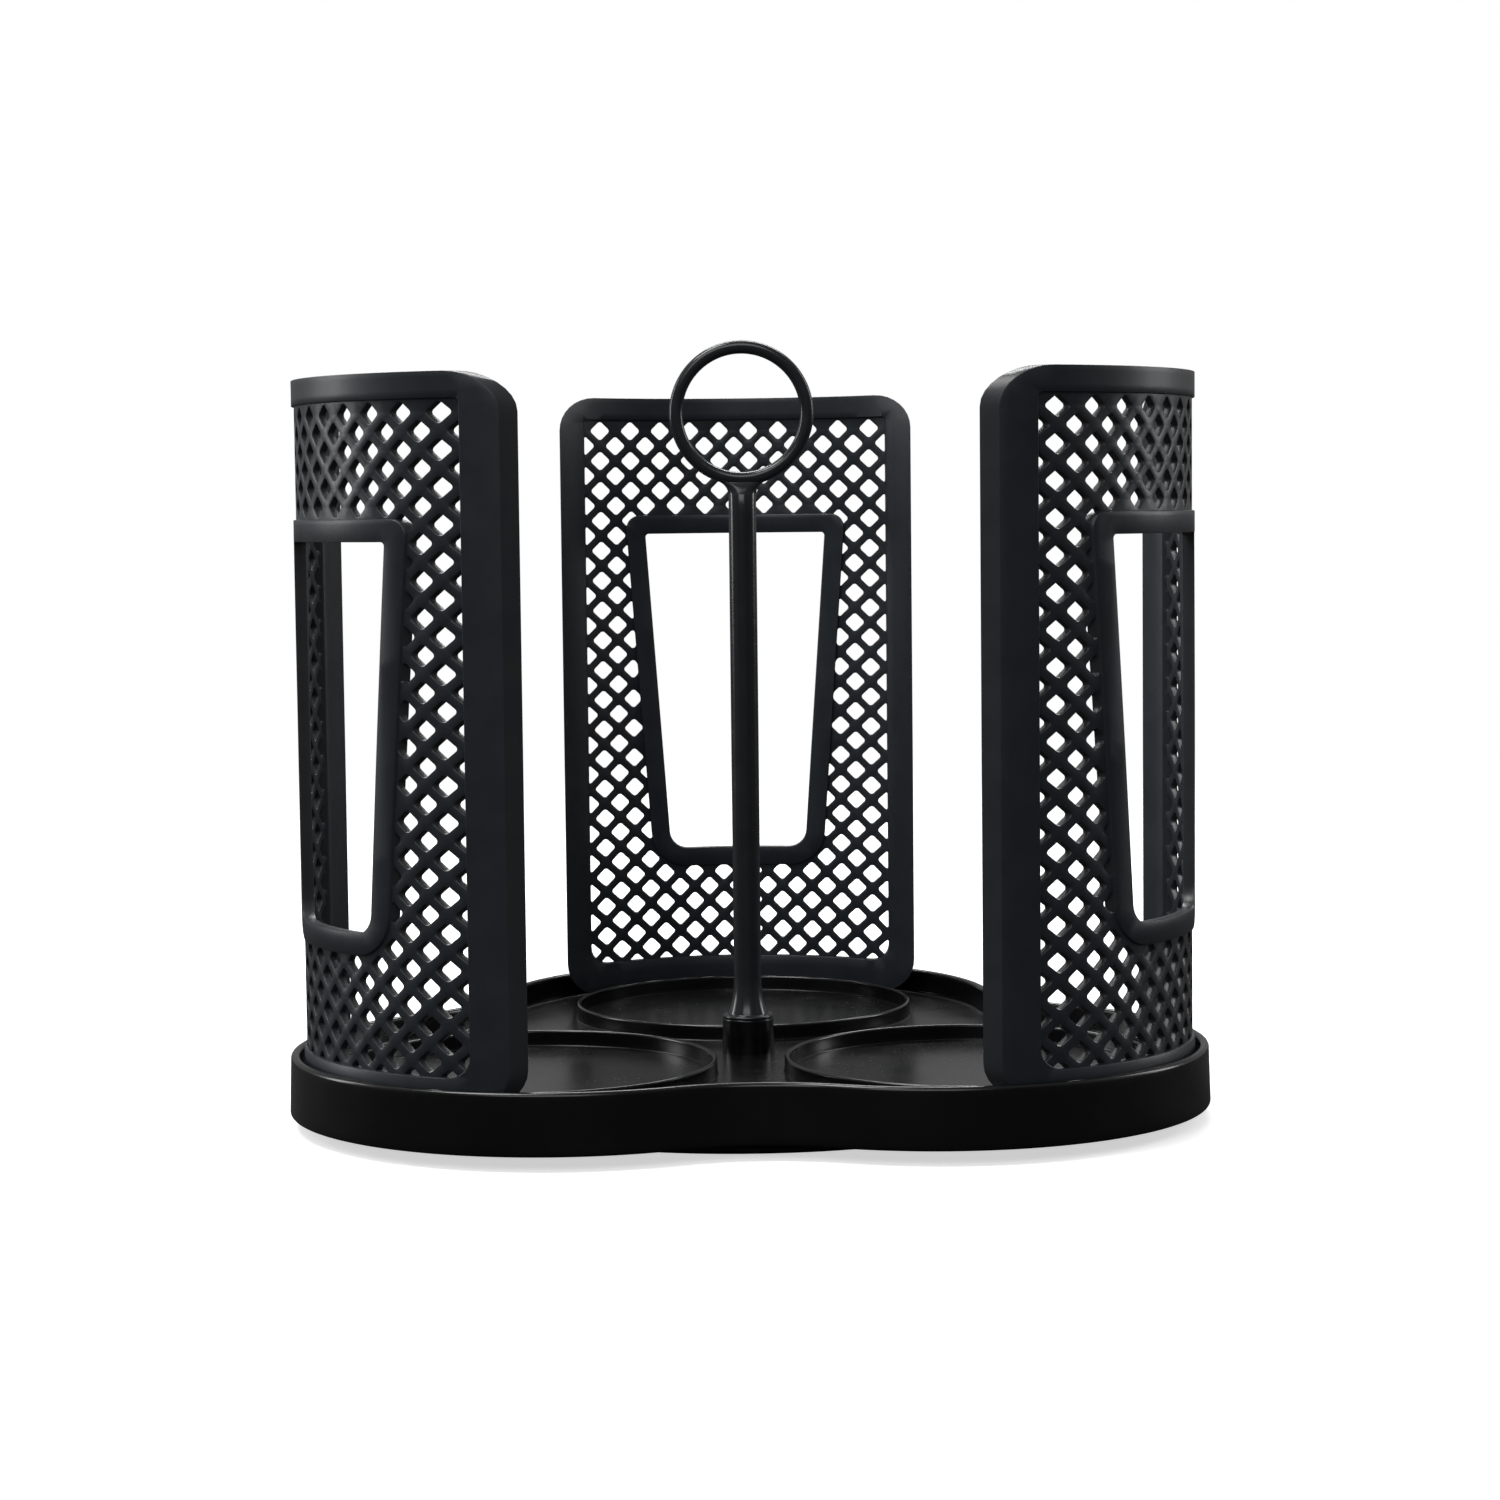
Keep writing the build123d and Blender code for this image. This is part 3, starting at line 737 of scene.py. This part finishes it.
def edgeDistance(points, whole, cut):
    # distance from a point on the wall to the nearest hole, window or outline, and 0 or less off the wall
    gap = np.minimum(-signedDistance(points, outlineEdge), signedDistance(points, windowEdge))
    frameGap = frameDistance(points)
    for centres, clipped in ((whole, False), (cut, True)):
        for part in np.array_split(np.arange(len(points)), len(points) // 4000 + 1):
            local = points[part][:, None] - centres
            near = np.abs(local).sum(2).argmin(1)
            hole = squareDistance(local[np.arange(len(part)), near])
            if clipped:
                hole = softMax(hole, frameGap[part], 0.5)
            gap[part] = np.minimum(gap[part], hole)
    return gap, frameGap


def panelSheet():
    # a flat triangulation of the pierced wall: (points, triangles, edge distance, frame distance)
    whole, cut = latticeCentres()
    cut, middles = cutHoles(cut)
    loops = []
    for grow in panel["edgeSteps"]:
        loops += list(whole[:, None] + squareLoop(grow))
        loops += list(cutLoops(cut, middles, grow))
        loops += [outlineLoop(-grow), windowLoop(grow)]
    for grow, _ in panel["reliefSteps"]:
        loops += [fieldLoop(grow), windowLoop(panel["bar"] - grow)]
    spacing = panel["fillSpacing"]
    u, z = np.meshgrid(np.arange(-52, 53, spacing), np.arange(panelFloor, panelTop, spacing))
    fill = np.stack([u.ravel(), z.ravel()], 1)
    gap, depth = edgeDistance(fill, whole, cut)
    fill = fill[(gap > 1.2) & (depth > 1.2)]
    starts = np.cumsum([len(fill)] + [len(loop) for loop in loops])
    ranges = [np.arange(len(loop)) for loop in loops]
    edges = [np.stack([i, np.roll(i, -1)], 1) + start for i, start in zip(ranges, starts)]
    edges = np.concatenate(edges).tolist()
    points = np.concatenate([fill] + loops)
    result = delaunay_2d_cdt([Vector(p) for p in points.tolist()], edges, [], 0, 1e-5, False)
    points, triangles = np.array([tuple(p) for p in result[0]]), np.array(result[2])
    onWall = edgeDistance(points[triangles].mean(1), whole, cut)[0] > 0
    triangles = triangles[onWall]
    used, inverse = np.unique(triangles, return_inverse=True)
    points, triangles = points[used], inverse.reshape(-1, 3)
    return points, triangles, *edgeDistance(points, whole, cut)


def panelShell():
    # the sheet bent onto two cylinders, straight out from the arc's centre, and joined by walls
    points, triangles, gap, depth = panelSheet()
    r = panel["edgeRound"]
    inset = np.clip(r - gap, 0, r)
    drop = r - np.sqrt(r * r - inset**2)
    rise = np.interp(depth, *zip(*panel["reliefSteps"]))
    half = panel["latticeThick"] / 2
    u, z = points[:, 0], points[:, 1]
    outer = np.sqrt((panel["radius"] + half + panel["outerRelief"] * rise - drop)**2 - u**2)
    frameBack = np.sqrt((panel["radius"] - half - panel["innerRelief"])**2 - u**2)
    latticeBack = np.sqrt((panel["radius"] + half)**2 - u**2) - panel["latticeThick"]
    inner = latticeBack + (frameBack - latticeBack) * rise + drop
    skins = [np.stack([u, panel["offset"] + out, z], 1) for out in (outer, inner)]
    count = len(points)
    a, b, c = points[triangles].transpose(1, 0, 2)
    flip = ((b - a)[:, 0] * (c - a)[:, 1] - (b - a)[:, 1] * (c - a)[:, 0]) > 0
    triangles[flip] = triangles[flip][:, ::-1]          # outer skin faces away from the arc's centre
    sides = np.concatenate([triangles[:, [0, 1]], triangles[:, [1, 2]], triangles[:, [2, 0]]])
    key = np.sort(sides, 1) @ np.array([count, 1])
    _, first, uses = np.unique(key, return_index=True, return_counts=True)
    rim = sides[first[uses == 1]]
    walls = np.stack([rim[:, 1], rim[:, 0], rim[:, 0] + count, rim[:, 1] + count], 1)
    faces = [triangles.tolist(), (triangles[:, ::-1] + count).tolist(), walls.tolist()]
    edge = np.tile(np.clip(1 - gap / panel["wearReach"], 0, 1), 2)
    return np.concatenate(skins), [f for group in faces for f in group], edge


tab = {
    "angles": (-38, 0, 38),
    "width": 8.0,
    "thick": 2.0,
    "hook": 0.8,             # how far the barb reaches inwards
    "hookHeight": 1.2,
    "hookTop": 9.7,          # just under the tray's floor
}


def panelTabs():
    # each tab and its barb: a hooked (radius, height) section carried along a short arc of the wall
    t = tab
    outer, inner = panel["radius"] + t["thick"] / 2, panel["radius"] - t["thick"] / 2
    foot, top = t["hookTop"] - t["hookHeight"], panelFloor + 1
    corners = [(inner - t["hook"] * 0.4, foot), (outer, foot), (outer, top), (inner, top),
               (inner, t["hookTop"]), (inner - t["hook"], t["hookTop"])]
    loop = roundedLoop(corners, [0.25, 0.3, 0.05, 0.05, 0.1, 0.15], 1.0)
    half = t["width"] / 2 / panel["radius"]
    shells = []
    for angle in t["angles"]:
        turn = math.radians(angle) + np.linspace(-half, half, 7)
        across, out = loop[:, 0] * np.sin(turn)[:, None], loop[:, 0] * np.cos(turn)[:, None]
        up = np.broadcast_to(loop[:, 1], across.shape)
        grid = np.stack([across, panel["offset"] + out, up], -1)
        shells.append(cappedGrid(grid))
    return shells


print("panels")
panelShells = [panelShell()] + panelTabs()
for side, turn in {"rear": 0, "left": 120, "right": 240}.items():
    sideShells = [(turned(points, turn), faces, edge) for points, faces, edge in panelShells]
    piece = storeMesh(f"panel{side.capitalize()}", sideShells, panelPlastic)
    standIn(piece, "panel_plastic", f"panel_{side}")


view = {
    "place": (-0.01732, -0.86804, 0.15837),
    "yaw": 1.231,
    "pitch": 4.227,
    "roll": -0.634,
    "lens": 77.46,
}
studio = {
    "floorSize": 4.0,
    "floorFade": (0.35, 1.3),    # the floor melts into the backdrop between these distances
    "floorColour": 0.8,
    "floorGlow": 0.6,
    "floorDim": 0.05,            # the floor's colour as the object reflects it
    "roomLow": 0.26,             # how bright the room is in reflections, at the horizon and overhead
    "roomHigh": 0.3,
    "roomFront": 0.07,           # and on the viewer's side, reached between these directions along Y
    "roomTurn": (-0.95, 0.1),
    "lights": {                  # place, target, size and power
        "keyLight": ((-0.55, -0.2, 1.35), (0, 0, 0.05), (0.6, 0.6), 13),
        "sideLight": ((1.3, 0.35, 0.6), (0, 0, 0.08), (0.3, 0.9), 5),
        "frontLight": ((-0.3, -1.8, 1.3), (0, 0, 0.1), (1.5, 1.0), 14),
        "backLight": ((0.1, 1.15, 1.25), (0, 0, 0.05), (1.2, 0.35), 16),
        "edgeLight": ((-1.3, 0.35, 0.5), (0, 0, 0.08), (0.3, 0.8), 5),
    },
}


def addCamera():
    # yaw turns the camera from straight ahead to the right, pitch tips it down, roll leans it
    yaw, pitch, roll = (math.radians(view[k]) for k in ("yaw", "pitch", "roll"))
    ahead = Vector((math.sin(yaw) * math.cos(pitch), math.cos(yaw) * math.cos(pitch), -math.sin(pitch)))
    right = Vector((math.cos(yaw), -math.sin(yaw), 0))
    up = right.cross(ahead)
    across = right * math.cos(roll) + up * math.sin(roll)
    upright = up * math.cos(roll) - right * math.sin(roll)
    data = bpy.data.cameras.new("camera")
    data.lens, data.sensor_width = view["lens"], 36
    data.clip_start, data.clip_end = 0.01, 20
    camera = bpy.data.objects.new("camera", data)
    turn = Matrix((across, upright, -ahead)).transposed().to_4x4()
    camera.matrix_world = Matrix.Translation(view["place"]) @ turn
    bpy.context.scene.collection.objects.link(camera)
    bpy.context.scene.camera = camera


def addArea(name, place, target, size, power):
    # a rectangular soft light that faces its target
    data = bpy.data.lights.new(name, "AREA")
    data.shape, data.size, data.size_y, data.energy = "RECTANGLE", size[0], size[1], power
    light = bpy.data.objects.new(name, data)
    light.location = place
    light.rotation_euler = (Vector(target) - Vector(place)).to_track_quat("-Z", "Y").to_euler()
    bpy.context.scene.collection.objects.link(light)


def stageFinish():
    # pale floor that fades out with distance, and looks dim to the object standing on it
    finish = Finish("stageFloor", {"Base Color": grey(studio["floorColour"]), "Roughness": 0.8,
                                   "Emission Color": grey(1.0), "Emission Strength": studio["floorGlow"]})
    length = finish.node("ShaderNodeVectorMath", {"operation": "LENGTH"}, {0: finish.place})
    distance = finish.wire(length, "Value")
    seen = finish.wire(finish.node("ShaderNodeLightPath"), "Is Camera Ray")
    fade = distance.ramp(*studio["floorFade"])
    dim = finish.node("ShaderNodeBsdfDiffuse", None, {"Color": grey(studio["floorDim"])})
    clear = finish.node("ShaderNodeBsdfTransparent")
    lit = finish.wire(finish.shader)
    pale = finish.node("ShaderNodeMixShader", None, {0: fade, 1: lit, 2: finish.wire(clear)})
    both = finish.node("ShaderNodeMixShader", None, {0: seen, 1: finish.wire(dim), 2: finish.wire(pale)})
    finish.tree.links.new(both.outputs[0], finish.tree.nodes["Material Output"].inputs["Surface"])
    return finish.material


def addStage():
    size = studio["floorSize"]
    corners = [(x * size, y * size, 0) for x, y in ((-1, -1), (1, -1), (1, 1), (-1, 1))]
    mesh = bpy.data.meshes.new("floor")
    mesh.from_pydata(corners, [], [(0, 1, 2, 3)])
    mesh.materials.append(stageFinish())
    floor = bpy.data.objects.new("floor", mesh)
    bpy.context.scene.collection.objects.link(floor)


def addRoom():
    # a white backdrop; reflections see a dimmer room that brightens overhead and darkens towards the viewer
    world = bpy.data.worlds.new("studio")
    bpy.context.scene.world = world
    room = Finish("studio", world=world)
    parts = room.node("ShaderNodeSeparateXYZ", None, {0: room.place})
    up = room.wire(parts, "Z").ramp(0.0, 0.9)
    behind = room.wire(parts, "Y").ramp(*studio["roomTurn"])
    seen = room.wire(room.node("ShaderNodeLightPath"), "Is Camera Ray")
    around = room.blend(up, grey(studio["roomLow"]), grey(studio["roomHigh"]))
    around = room.blend(behind, grey(studio["roomFront"]), around)
    room.feed("Color", room.blend(seen, around, grey(1.0)))
    bpy.context.scene.view_settings.view_transform = "Standard"


print("stage")
addStage()
addRoom()
for name, setting in studio["lights"].items():
    addArea(name, *setting)
addCamera()
